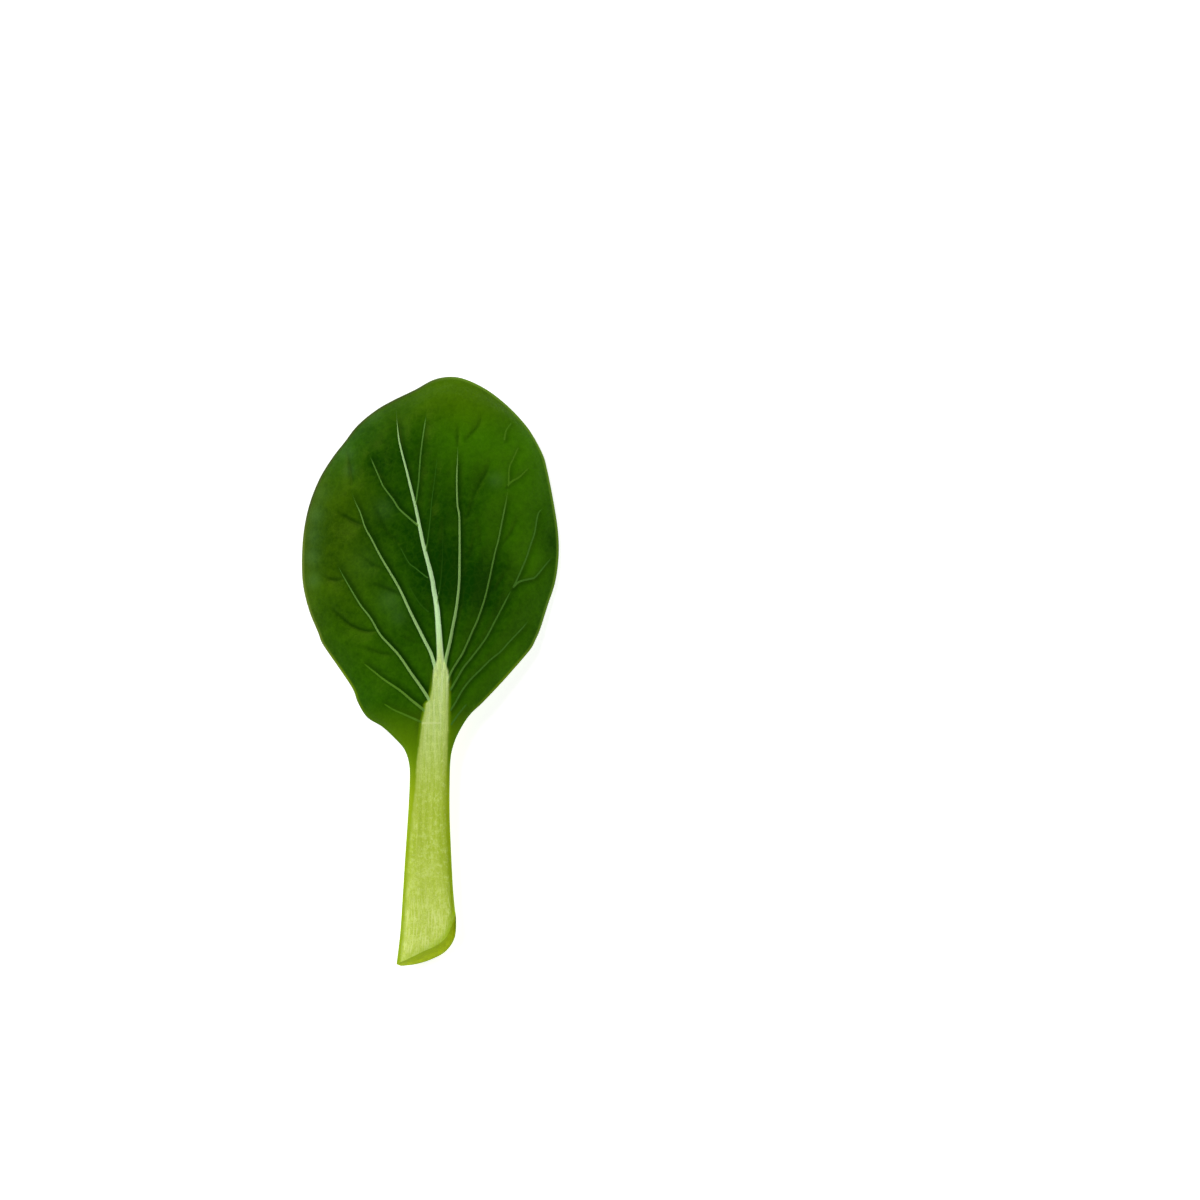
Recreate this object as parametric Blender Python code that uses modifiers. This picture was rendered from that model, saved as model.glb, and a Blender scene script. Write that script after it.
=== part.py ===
"""One picked bok choy leaf, lying face up on a flat surface.

The leaf is one grown piece: a thin domed blade that runs down into a thick stalk, cut off at its foot.
It lies along +Y with the blade's tip at +Y, the cut foot at -Y and the glossy upper face up.
The origin is the middle of the leaf's footprint, on the surface that it lies on.
"""

import math

import bmesh
import bpy
import numpy as np

# Driving dimensions, in metres.
LEAF_LENGTH = 0.180
BLADE_THICKNESS = 0.0008
STALK_THICKNESS = 0.0070

# The ribs below are drawn for a leaf of this length, in millimetres.
DRAWN_LENGTH = 180.0
SCALE = LEAF_LENGTH / DRAWN_LENGTH

COLUMNS = 26
ROWS = 54
# Above 1, this draws the grid's columns closer together near the midrib.
COLUMN_CROWDING = 1.3

# Ribs across the leaf, from the cut foot to the tip. Each is an arch through three points of the upper face:
# left edge, midrib and right edge, as (x, y, height), with the height above the surface that the leaf lies on.
RIBS = (
    ((-10.1, -90.0, 5.0), (0.2, -88.6, 6.8), (7.7, -79.5, 5.1)),
    ((-9.4, -80.0, 4.8), (-0.6, -78.0, 6.8), (7.9, -74.0, 5.0)),
    ((-8.5, -68.0, 4.6), (-0.7, -67.0, 6.7), (7.2, -66.0, 4.8)),
    ((-7.5, -53.0, 4.6), (-0.6, -53.0, 6.6), (6.3, -53.0, 4.8)),
    ((-6.7, -40.0, 4.8), (-0.4, -40.0, 6.7), (5.8, -40.0, 5.0)),
    ((-6.4, -30.0, 5.4), (0.0, -30.0, 7.2), (6.0, -30.0, 5.5)),
    ((-8.2, -23.6, 6.1), (1.2, -22.0, 8.0), (7.2, -22.0, 6.2)),
    ((-14.2, -17.6, 6.2), (2.2, -14.0, 9.1), (11.2, -14.5, 6.7)),
    ((-21.3, -11.6, 5.6), (2.8, -6.0, 10.2), (18.0, -7.4, 6.2)),
    ((-25.0, -3.4, 4.6), (3.1, 3.0, 11.2), (25.8, 1.0, 4.9)),
    ((-32.4, 7.0, 2.9), (2.5, 13.0, 12.1), (32.2, 9.8, 3.4)),
    ((-38.0, 20.0, 1.2), (1.1, 25.0, 12.7), (36.2, 22.0, 1.9)),
    ((-39.4, 34.0, 0.8), (-2.0, 38.0, 12.9), (39.3, 36.5, 0.9)),
    ((-37.6, 48.0, 1.0), (-4.8, 52.0, 12.4), (38.5, 49.0, 1.0)),
    ((-33.6, 60.0, 1.5), (-6.6, 66.0, 11.0), (36.0, 61.0, 1.5)),
    ((-26.6, 70.4, 2.0), (-3.6, 79.0, 8.2), (31.8, 71.6, 2.0)),
    ((-22.4, 75.6, 2.3), (6.1, 90.0, 3.8), (28.4, 76.9, 2.2)),
)

# The stalk and the midrib that it narrows to, as (y, centre x, half width, depth), in millimetres.
STALK = (
    (-90.0, -0.9, 9.4, 7.0),
    (-66.0, -0.8, 8.0, 6.7),
    (-40.0, -0.3, 6.4, 6.1),
    (-26.0, 0.6, 6.0, 5.6),
    (-14.0, 2.0, 5.4, 4.8),
    (0.0, 3.2, 4.2, 3.6),
    (14.0, 2.6, 3.6, 2.6),
    (36.0, -1.5, 3.2, 1.8),
    (64.0, -6.4, 3.0, 0.8),
    (90.0, 6.0, 3.0, 0.8),
)


def along_ribs(place):
    """The three points of the rib at this place, from 0 at the foot to 1 at the tip, on a Catmull-Rom curve."""
    ribs = np.array(RIBS)
    last = len(ribs) - 1
    step = min(int(place * last), last - 1)
    t = place * last - step
    before, start, end, after = (ribs[min(max(step + k, 0), last)] for k in (-1, 0, 1, 2))
    return 0.5 * (
        2 * start
        + (end - before) * t
        + (2 * before - 5 * start + 4 * end - after) * t**2
        + (3 * start - before - 3 * end + after) * t**3
    )


def upper_point(side, place):
    """A point of the upper face in millimetres. Side runs from -1 at the left edge to 1 at the right edge."""
    left, axis, right = along_ribs(place)
    edge = right if side > 0 else left
    point = axis + side * (right - left) / 2 + side**2 * (left + right - 2 * axis) / 2
    # The stalk's face is flat and rolls over at its sides, and the blade is a rounder dome.
    blade_share = np.clip((point[1] + 30.0) / 30.0, 0.0, 1.0)
    roll = 4.0 - 1.6 * blade_share
    point[2] = axis[2] + (edge[2] - axis[2]) * abs(side) ** roll
    return point


def leaf_depth(x, y):
    """How thick the leaf is at this place, in metres: a thin blade with the stalk's rounded back below it."""
    stations = np.array(STALK)
    centre, half_width, depth = (np.interp(y, stations[:, 0], stations[:, k]) for k in (1, 2, 3))
    reach = min(abs(x - centre) / half_width, 1.0)
    roundness = (1.0 - reach**2.4) ** 0.6
    stalk_depth = depth / STALK[0][3] * STALK_THICKNESS
    return BLADE_THICKNESS + max(stalk_depth - BLADE_THICKNESS, 0.0) * roundness


def clear_scene():
    for obj in list(bpy.data.objects):
        bpy.data.objects.remove(obj, do_unlink=True)


def leaf_green():
    material = bpy.data.materials.new("leaf_green")
    material.use_nodes = True
    shader = material.node_tree.nodes["Principled BSDF"]
    shader.inputs["Base Color"].default_value = (0.035, 0.105, 0.008, 1.0)
    shader.inputs["Roughness"].default_value = 0.45
    shader.inputs["Metallic"].default_value = 0.0
    return material


def upper_face(obj):
    """A grid laid over the ribs, with each point's depth as its weight in the group that Solidify reads."""
    depth_group = obj.vertex_groups.new(name="depth")
    grid = bmesh.new()
    bmesh.ops.create_grid(grid, x_segments=COLUMNS, y_segments=ROWS, size=1.0)
    weights = grid.verts.layers.deform.verify()
    for vert in grid.verts:
        side = math.copysign(abs(vert.co.x) ** COLUMN_CROWDING, vert.co.x)
        x, y, z = upper_point(side, (vert.co.y + 1.0) / 2.0)
        vert[weights][depth_group.index] = leaf_depth(x, y) / STALK_THICKNESS
        vert.co = (x * SCALE, y * SCALE, z * SCALE)
    bmesh.ops.recalc_face_normals(grid, faces=grid.faces)
    if sum(face.normal.z for face in grid.faces) < 0:
        bmesh.ops.reverse_faces(grid, faces=grid.faces)
    for face in grid.faces:
        face.smooth = True
    grid.to_mesh(obj.data)
    grid.free()


def give_depth(obj):
    """Thickens the upper face downwards by each point's depth."""
    solidify = obj.modifiers.new("depth", "SOLIDIFY")
    solidify.thickness = STALK_THICKNESS
    solidify.offset = -1.0
    solidify.vertex_group = "depth"
    solidify.use_rim = True


def rest_on_origin(obj):
    """Moves the finished leaf so that the middle of its underside's box is the origin."""
    bpy.context.view_layer.update()
    shaped = obj.evaluated_get(bpy.context.evaluated_depsgraph_get())
    points = np.array([vert.co for vert in shaped.data.vertices])
    low, high = points.min(axis=0), points.max(axis=0)
    for vert in obj.data.vertices:
        vert.co.x -= (low[0] + high[0]) / 2
        vert.co.y -= (low[1] + high[1]) / 2
        vert.co.z -= low[2]


def build_leaf():
    collection = bpy.data.collections.new("bok_choy")
    bpy.context.scene.collection.children.link(collection)
    leaf = bpy.data.objects.new("bok_choy_leaf", bpy.data.meshes.new("bok_choy_leaf"))
    collection.objects.link(leaf)
    leaf.data.materials.append(leaf_green())
    upper_face(leaf)
    give_depth(leaf)
    rest_on_origin(leaf)


clear_scene()
build_leaf()
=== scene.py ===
"""The looks of one picked bok choy leaf that lies face up on a pale table.

The leaf is one modelled piece. It starts as a flat pattern in the unit square, where x runs across the leaf
from its left margin (0) to its right margin (1), and y runs along it from the cut foot (0) to the tip (1).
The pattern is made finer along the veins and given an underside and a rim, and then every point of it is
moved to its place. Lengths in the tables and in the functions that shape the leaf are in millimetres.
"""

import bpy
import numpy as np
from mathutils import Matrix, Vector


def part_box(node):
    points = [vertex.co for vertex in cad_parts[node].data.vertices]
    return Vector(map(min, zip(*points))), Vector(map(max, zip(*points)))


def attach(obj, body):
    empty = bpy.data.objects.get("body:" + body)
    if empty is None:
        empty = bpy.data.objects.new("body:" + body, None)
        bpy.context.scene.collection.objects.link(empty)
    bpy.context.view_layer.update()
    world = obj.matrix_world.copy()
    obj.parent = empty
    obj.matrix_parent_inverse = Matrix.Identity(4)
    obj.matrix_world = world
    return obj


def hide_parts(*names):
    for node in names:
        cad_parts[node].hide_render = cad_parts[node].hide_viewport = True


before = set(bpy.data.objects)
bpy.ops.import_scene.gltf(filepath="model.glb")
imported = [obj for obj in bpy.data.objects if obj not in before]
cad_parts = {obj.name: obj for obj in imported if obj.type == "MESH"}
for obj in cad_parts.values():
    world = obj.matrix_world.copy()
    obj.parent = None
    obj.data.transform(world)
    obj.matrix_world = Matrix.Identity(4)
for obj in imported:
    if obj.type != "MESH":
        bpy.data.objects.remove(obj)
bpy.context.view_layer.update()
leaf_low, leaf_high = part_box("bok_choy_leaf")

# The tables are drawn for a leaf of this length, and the frame's own leaf says how many metres a drawn
# millimetre is.
DRAWN_LENGTH = 180.3
MM = (leaf_high.y - leaf_low.y) / DRAWN_LENGTH

# ------------------------------------------------------------------------------------------------ the outline

# The left and right margins in pairs from the foot to the tip, as (left x, left y, right x, right y).
MARGINS = (
    (-10.4, -89.3, 7.4, -73.9),
    (-9.3, -80.0, 7.1, -70.5),
    (-8.6, -69.8, 6.7, -64.5),
    (-7.8, -57.0, 6.2, -54.5),
    (-7.0, -45.4, 5.8, -44.0),
    (-6.4, -34.7, 5.8, -34.0),
    (-6.5, -28.6, 6.0, -27.5),
    (-7.9, -24.0, 6.7, -23.4),
    (-10.6, -20.7, 8.4, -18.9),
    (-14.6, -16.9, 11.6, -13.6),
    (-19.2, -14.0, 15.6, -9.6),
    (-22.0, -9.6, 19.5, -5.6),
    (-23.6, -5.4, 23.3, -1.5),
    (-27.3, 0.2, 27.0, 2.7),
    (-31.4, 6.0, 30.5, 6.9),
    (-33.3, 9.0, 32.0, 9.8),
    (-34.3, 11.8, 33.3, 12.8),
    (-37.1, 18.6, 35.6, 20.0),
    (-39.0, 26.6, 38.0, 27.6),
    (-39.3, 35.0, 39.0, 35.8),
    (-38.7, 43.2, 38.7, 43.6),
    (-36.9, 51.4, 37.2, 53.2),
    (-33.9, 59.0, 35.5, 61.6),
    (-30.3, 65.0, 34.2, 66.2),
    (-26.3, 70.2, 31.5, 71.6),
    (-22.3, 75.3, 28.3, 76.2),
)
# Heights above the table at the same stations, as (left margin, middle, right margin).
HEIGHTS = (
    (5.0, 6.8, 5.1),
    (4.8, 6.8, 5.0),
    (4.6, 6.7, 4.8),
    (4.6, 6.6, 4.8),
    (4.8, 6.6, 4.9),
    (5.1, 6.8, 5.2),
    (5.4, 7.1, 5.5),
    (5.7, 7.5, 5.9),
    (5.9, 8.0, 6.2),
    (5.8, 8.6, 6.4),
    (5.6, 9.2, 6.2),
    (5.3, 9.7, 5.8),
    (4.8, 10.1, 5.3),
    (4.0, 10.5, 4.6),
    (3.0, 10.8, 3.7),
    (2.6, 11.0, 3.2),
    (2.2, 11.2, 2.8),
    (1.5, 11.4, 2.0),
    (1.0, 11.6, 1.4),
    (0.8, 11.6, 1.1),
    (0.9, 11.4, 1.1),
    (1.1, 11.0, 1.3),
    (1.4, 10.4, 1.6),
    (1.8, 9.2, 1.9),
    (2.2, 7.4, 2.2),
    (2.6, 4.0, 2.5),
)
TIP = (
    (-22.3, 75.3), (-16.7, 79.8), (-11.2, 82.9), (-4.9, 85.9), (0.9, 89.0),
    (6.1, 89.9), (11.0, 89.0), (17.3, 85.9), (23.3, 81.3), (28.3, 76.2),
)
# The oblique cut: its edge on the upper face, and its edge on the stalk's back, which reaches further out.
CUT_ABOVE = (
    (-10.4, -89.3), (-9.0, -88.9), (-5.6, -87.3), (-2.1, -85.6),
    (1.5, -84.0), (4.2, -82.0), (5.5, -79.9), (6.8, -76.8), (7.4, -73.9),
)
CUT_BELOW = (
    (-10.4, -89.6), (-9.5, -90.1), (-8.0, -90.2), (-4.2, -89.7), (-0.3, -88.5),
    (3.7, -86.5), (6.1, -84.0), (7.4, -81.3), (7.8, -78.4), (7.8, -75.2),
)

# ------------------------------------------------------------------------------------ the stalk and its veins

# The pale face of the stalk, as (y, left x, right x). It runs up into the blade and forks at its top.
PALE_FACE = (
    (-92.0, -12.0, 10.0),
    (-60.0, -8.6, 6.6),
    (-48.0, -6.5, 5.6),
    (-38.0, -4.9, 5.1),
    (-27.0, -4.2, 5.2),
    (-20.9, -3.3, 5.4),
    (-15.5, -2.6, 5.5),
    (-12.5, -1.8, 5.5),
    (-9.8, -1.4, 5.5),
    (-8.6, -0.1, 5.5),
    (-4.7, 0.5, 5.6),
    (-1.5, 0.8, 5.6),
    (0.3, 0.9, 5.4),
    (1.8, 1.4, 4.9),
    (3.2, 1.9, 4.3),
    (5.0, 2.1, 4.0),
    (9.0, 1.95, 3.6),
    (16.0, 1.6, 2.85),
    (22.0, 1.2, 2.0),
)
PALE_FACE_TOP = 22.0

# The thick stalk and the keel under the blade that it narrows to, as (y, centre x, half width, depth).
KEEL = (
    (-90.0, -0.9, 9.4, 7.0),
    (-66.0, -0.8, 8.0, 6.7),
    (-40.0, -0.3, 6.4, 6.1),
    (-26.0, 0.6, 6.0, 5.6),
    (-14.0, 2.0, 5.2, 4.8),
    (0.0, 3.1, 3.9, 3.7),
    (14.0, 2.6, 2.6, 2.7),
    (36.0, -1.5, 1.7, 1.7),
    (60.0, -6.9, 1.1, 0.9),
    (78.0, -10.4, 0.7, 0.5),
)

# Every vein from its root to its end: its line, its width at both ends, how pale it is at both ends (0 to 1),
# how far it stands up, and how deep the furrow beside it is.
VEINS = {
    "midrib": (
        ((3.1, 1.0), (2.8, 9.6), (2.1, 18.8), (1.2, 24.3), (0.3, 29.5), (-2.1, 38.7), (-4.3, 49.4),
         (-5.8, 55.5), (-7.3, 61.6), (-8.9, 67.7), (-9.8, 72.3), (-10.6, 81.2)),
        (1.80, 0.30), (1.00, 0.56), 0.42, 0.56,
    ),
    "left_1": (
        ((2.0, -1.5), (1.2, 2.3), (0.0, 6.0), (-1.8, 9.6), (-6.1, 18.2), (-9.2, 24.9), (-12.2, 30.1),
         (-15.3, 35.3), (-18.0, 40.5), (-19.9, 43.9), (-21.4, 48.4), (-23.2, 52.4), (-24.6, 57.0)),
        (1.04, 0.30), (0.72, 0.10), 0.30, 0.52,
    ),
    "left_2": (
        ((0.4, -10.5), (-0.9, -7.8), (-3.1, -4.4), (-6.1, -0.2), (-9.2, 4.4), (-12.2, 7.8), (-15.3, 11.2),
         (-18.3, 16.3), (-21.4, 20.3), (-24.4, 25.2), (-27.2, 30.1), (-29.3, 34.5)),
        (0.92, 0.28), (0.46, 0.06), 0.22, 0.48,
    ),
    "left_3": (
        ((-1.5, -12.5), (-2.4, -11.5), (-6.0, -8.6), (-9.3, -5.8), (-14.2, -2.5), (-16.9, -0.4),
         (-21.4, 3.2)),
        (0.85, 0.40), (0.17, 0.04), 0.14, 0.32,
    ),
    "left_4": (
        ((-3.0, -15.4), (-4.3, -14.8), (-7.9, -13.2), (-11.5, -11.6), (-14.9, -9.4)),
        (0.65, 0.40), (0.09, 0.03), 0.08, 0.22,
    ),
    "right_1": (
        ((4.2, 0.0), (4.9, 4.4), (5.8, 8.1), (6.7, 12.7), (7.6, 17.3), (8.3, 21.8), (8.9, 29.5), (8.9, 46.3),
         (8.3, 50.9), (8.1, 58.5), (8.3, 64.6), (8.4, 70.0)),
        (1.00, 0.36), (0.49, 0.27), 0.28, 0.48,
    ),
    "right_2": (
        ((5.4, -3.0), (6.4, -0.2), (8.6, 3.5), (10.1, 6.0), (12.8, 12.1), (14.4, 15.7), (16.5, 21.8),
         (18.0, 28.0), (19.6, 35.6), (20.8, 40.2), (22.0, 46.3), (23.2, 52.4), (23.9, 57.4)),
        (0.62, 0.40), (0.13, 0.10), 0.17, 0.38,
    ),
    "right_2_side": (
        ((23.8, 57.0), (25.1, 58.2), (27.2, 59.4), (30.4, 62.6)),
        (0.6, 0.4), (0.05, 0.03), 0.05, 0.20,
    ),
    "right_2_top": (
        ((23.9, 57.2), (24.1, 62.2), (25.1, 64.6), (27.2, 69.2)),
        (0.5, 0.4), (0.05, 0.04), 0.05, 0.20,
    ),
    "right_3": (
        ((6.2, -5.6), (7.6, -3.2), (10.1, 1.1), (12.5, 4.1), (16.8, 9.9), (19.6, 15.1), (21.4, 18.5),
         (24.1, 23.7), (25.4, 25.8)),
        (0.62, 0.42), (0.07, 0.05), 0.13, 0.30,
    ),
    "right_3_top": (
        ((25.4, 25.8), (27.5, 30.4), (29.3, 34.7), (30.6, 38.7), (31.8, 42.3), (33.0, 48.4), (35.4, 50.2)),
        (0.5, 0.4), (0.05, 0.05), 0.05, 0.26,
    ),
    "right_3_side": (
        ((25.4, 25.8), (27.2, 27.4), (30.6, 28.3), (32.1, 28.9), (35.1, 32.5), (37.6, 35.6)),
        (0.6, 0.4), (0.06, 0.02), 0.05, 0.28,
    ),
    "right_4": (
        ((6.2, -11.8), (7.6, -9.6), (9.8, -5.7), (12.2, -2.6), (15.3, 0.5), (18.3, 3.5), (21.4, 6.0),
         (23.8, 8.7), (28.1, 13.3), (31.0, 16.8)),
        (0.55, 0.40), (0.05, 0.04), 0.09, 0.28,
    ),
    "right_5": (((6.4, -16.2), (8.6, -13.0), (11.4, -9.6)), (0.6, 0.5), (0.04, 0.03), 0.04, 0.16),
    "midrib_left": (
        ((-3.6, 44.4), (-7.9, 48.1), (-9.8, 50.0), (-11.3, 52.4), (-14.1, 56.1), (-15.3, 58.5),
         (-19.0, 67.0)),
        (0.60, 0.32), (0.13, 0.11), 0.16, 0.38,
    ),
    "midrib_right_1": (
        ((-4.6, 50.2), (-4.1, 53.6), (-3.5, 58.5), (-3.1, 64.6), (-2.4, 70.7), (-1.2, 78.6)),
        (0.48, 0.38), (0.04, 0.16), 0.07, 0.28,
    ),
    "midrib_right_2": (
        ((-1.2, 36.6), (-0.2, 44.8), (0.5, 52.4), (1.5, 60.0), (2.3, 67.5)),
        (0.4, 0.3), (0.025, 0.02), 0.04, 0.18,
    ),
    "midrib_right_3": (
        ((1.9, 20.0), (2.8, 24.3), (3.5, 31.0), (3.8, 38.7), (4.1, 47.5)),
        (0.4, 0.3), (0.020, 0.015), 0.04, 0.20,
    ),
    "low_twig": (
        ((-0.9, 28.6), (-4.6, 31.6), (-6.7, 33.4), (-9.8, 39.2)),
        (0.45, 0.35), (0.03, 0.02), 0.04, 0.16,
    ),
    "lower_twig": (
        ((-0.6, 18.2), (-3.1, 20.6), (-5.5, 24.3), (-7.6, 28.6)),
        (0.45, 0.35), (0.02, 0.015), 0.04, 0.16,
    ),
    "top_twig": (((22.6, 70.8), (23.2, 73.8), (25.1, 76.3)), (0.5, 0.4), (0.05, 0.03), 0.04, 0.14),
}
# Side veins too thin to be pale: only a furrow shows, sunk into the blade and darkened with painted shade.
# Each is its line and the furrow's depth.
FURROWS = (
    (((-20.5, 44.5), (-24.4, 46.3), (-28.4, 48.7)), 0.36),
    (((-26.6, 28.3), (-30.0, 28.0), (-33.0, 29.5)), 0.30),
    (((-16.5, 12.4), (-20.0, 12.4), (-24.0, 14.0), (-27.0, 16.4), (-30.6, 19.4)), 0.38),
    (((-8.6, 23.1), (-10.7, 24.3), (-14.7, 25.8), (-17.8, 27.0)), 0.28),
    (((13.0, 53.2), (15.3, 57.8), (17.0, 61.0), (18.4, 64.6)), 0.23),
    (((10.7, 70.7), (14.7, 75.3), (15.3, 78.4)), 0.22),
    (((8.4, 69.0), (8.3, 75.5)), 0.22),
    (((19.8, 37.0), (24.0, 41.5), (26.5, 46.5)), 0.20),
    (((16.6, 22.6), (20.0, 25.5), (23.0, 30.5)), 0.18),
    (((9.0, 32.0), (12.0, 36.0), (13.6, 42.0)), 0.16),
    (((8.9, 44.0), (12.0, 49.0), (13.6, 55.0)), 0.16),
    (((-12.8, 31.0), (-17.5, 32.6), (-22.0, 36.2)), 0.22),
    (((-9.4, 5.0), (-15.0, 5.6), (-21.0, 7.6)), 0.22),
    (((-1.5, 9.2), (-5.0, 9.0), (-8.4, 10.8)), 0.16),
    (((-24.0, 57.5), (-24.6, 62.0), (-25.6, 68.0)), 0.26),
    (((-9.8, 39.2), (-13.8, 43.5), (-17.6, 51.6)), 0.24),
    (((14.5, 46.0), (15.3, 42.0), (15.4, 38.7)), 0.16),
)

# Where the blade is lighter or darker than its middle green, as (x, y, how far it spreads, by how much).
TONES = (
    (3.0, 30.0, 15.0, -0.49),
    (14.0, 24.0, 9.0, -0.35),
    (-3.0, 18.0, 8.0, -0.15),
    (14.0, 4.0, 10.0, -0.02),
    (11.0, 84.0, 15.0, 0.45),
    (28.0, 66.0, 14.0, 0.38),
    (15.0, 62.0, 10.0, 0.05),
    (31.0, 35.0, 8.0, 0.36),
    (37.5, 38.5, 5.0, -0.38),
    (22.5, 33.0, 4.0, -0.20),
    (-2.0, 70.0, 5.0, -0.16),
    (-24.0, 64.0, 14.0, -0.10),
    (-9.0, 64.0, 11.0, -0.30),
    (-16.0, 42.0, 9.0, -0.25),
    (2.0, 50.0, 7.0, -0.18),
    (11.0, 50.0, 6.0, -0.18),
    (-36.0, 40.0, 10.0, -0.25),
    (-30.0, 2.0, 8.0, -0.22),
    (-30.0, 18.0, 5.0, -0.10),
    (16.5, 58.5, 4.5, -0.34),
    (-10.5, 53.0, 3.5, -0.30),
    (31.0, 53.0, 5.0, 0.15),
    (5.0, 19.0, 6.0, 0.12),
    (-18.0, 3.0, 6.0, 0.16),
    (-9.0, 22.0, 5.0, 0.14),
    (24.0, 2.0, 7.0, 0.15),
)

# Where the light's sheen on the waxy blade is painted into its colour as a faint bluish patch, in the same
# way.
PAINTED_SHEEN_SPOTS = (
    (-17.8, 79.0, 2.5, 0.30),
    (-25.4, 66.5, 2.0, 0.45),
    (-25.0, 61.5, 1.8, 0.40),
    (-34.6, 54.5, 2.8, 0.35),
    (-36.2, 48.0, 2.8, 0.70),
    (-36.8, 41.5, 2.6, 0.50),
    (-36.9, 35.0, 2.6, 0.60),
    (-36.2, 28.0, 2.4, 0.50),
    (-14.2, 49.6, 3.2, 0.24),
    (-20.0, 33.0, 5.0, 0.12),
    (-12.2, 21.8, 3.4, 0.34),
    (-9.6, 16.5, 2.4, 0.25),
    (20.1, 58.5, 2.2, 0.34),
)

# The pattern's grid, and how often its rim is cut between the two faces.
COLUMNS = 80
ROWS = 188
RIM_CUTS = 3
# A face this close to a vein is cut in four, once for each value, from this far up the leaf.
FINE_REACH = (1.35, 0.45)
FINE_FROM = -24.0
# The furrow beside a vein lies a little to its right.
FURROW_WIDTH = 1.0
FURROW_SIDE = 0.65
# The blade puckers up between the veins. A furrow at least as deep as the clear one holds it fully down.
CLEAR_FURROW = 0.38
PUCKER_HEIGHT = 1.15
PUCKER_SPREAD = 5.2
# How far off a line that isn't near counts as: in half widths of a vein, and in millimetres.
FAR_IN_WIDTHS = 8.0
FAR = 9.0
# How thick the blade is, and how far its rim bulges out.
BLADE_DEPTH = 0.55
RIM_BULGE = 0.22
# Places in the pattern no further apart than this are the same.
TINY = 1e-6
# How wide the pattern of the stalk's fibres is from margin to margin.
FIBRE_SPAN = 14.0
# How many waves with random directions and lengths a rolling pattern is made of.
WAVE_COUNT = 12
# The finishes' places in the leaf's list of materials.
UPPER_SKIN, UNDER_SKIN, CUT_FLESH = 0, 1, 2


def smooth_curve(points, at, come_from=None, go_to=None):
    """Places on the smooth curve through the points, where at is 0 at the first point and counts up by 1.

    A curve that goes on beyond its points is guided by the points that it comes from and goes to.
    """
    last = len(points) - 1
    come_from = points[0] if come_from is None else come_from
    go_to = points[-1] if go_to is None else go_to
    guided = np.array((come_from, *points, go_to), float)
    at = np.clip(at, 0.0, last)
    step = np.minimum(at.astype(int), last - 1)
    t = (at - step)[:, None]
    before, start, end, after = (guided[step + k] for k in range(4))
    cubic = 3 * start - before - 3 * end + after
    square = 2 * before - 5 * start + 4 * end - after
    return 0.5 * (2 * start + (end - before) * t + square * t**2 + cubic * t**3)


def even_places(points, share):
    """Positions along the points, as smooth_curve counts them, at shares of the curve's length."""
    at = np.linspace(0.0, len(points) - 1, 40 * len(points))
    steps = np.linalg.norm(np.diff(smooth_curve(points, at)[:, :2], axis=0), axis=1)
    length = np.concatenate(([0.0], np.cumsum(steps)))
    return np.interp(share * length[-1], length, at)


def ease(low, high, value):
    """0 below low, 1 above high, and a smooth rise between them."""
    t = np.clip((value - low) / (high - low), 0.0, 1.0)
    return t * t * (3.0 - 2.0 * t)


def bell(value, width):
    """1 where the value is 0, and falling smoothly to 0 on both sides of it."""
    return np.exp(-((value / width) ** 2))


def plan(across, along, below=0.0):
    """Where the pattern's points lie seen from above, and how high the smooth dome is there."""
    middles = [((a + c) / 2, (b + d) / 2) for a, b, c, d in MARGINS]
    station = even_places(middles, along)
    margins = smooth_curve(MARGINS, station, go_to=TIP[1] + TIP[-2])
    left, right = margins[:, :2], margins[:, 2:]
    share = across[:, None]
    flat = left + (right - left) * share
    # The foot and the tip are bent from straight lines to their curves, more weakly further away.
    ends = np.asarray(MARGINS, float)[[0, -1]]
    above = smooth_curve(CUT_ABOVE, even_places(CUT_ABOVE, across))
    under = smooth_curve(CUT_BELOW, even_places(CUT_BELOW, across))
    tip = smooth_curve(TIP, even_places(TIP, across), come_from=MARGINS[-2][:2], go_to=MARGINS[-2][2:])
    foot_bend = above - (ends[0, :2] + (ends[0, 2:] - ends[0, :2]) * share)
    tip_bend = tip - (ends[1, :2] + (ends[1, 2:] - ends[1, :2]) * share)
    foot_near = (1.0 - ease(0.0, 0.22, along))[:, None]
    tip_near = (np.clip((along - 0.34) / 0.66, 0.0, 1.0) ** 2)[:, None]
    flat = flat + foot_bend * foot_near + tip_bend * tip_near
    flat = flat + (under - above) * (np.clip(1.0 - along / 0.10, 0.0, 1.0) ** 2 * below)[:, None]
    heights = smooth_curve(HEIGHTS, station)
    side = 2.0 * across - 1.0
    edge = np.where(side > 0.0, heights[:, 2], heights[:, 0])
    stalk = 1.0 - ease(-34.0, 0.0, flat[:, 1])
    roll = 2.3 + 1.9 * stalk
    dome = heights[:, 1] + (edge - heights[:, 1]) * np.abs(side) ** roll
    dome = dome - 0.45 * stalk * (1.0 - side**2) ** 2
    return flat[:, 0], flat[:, 1], dome


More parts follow.
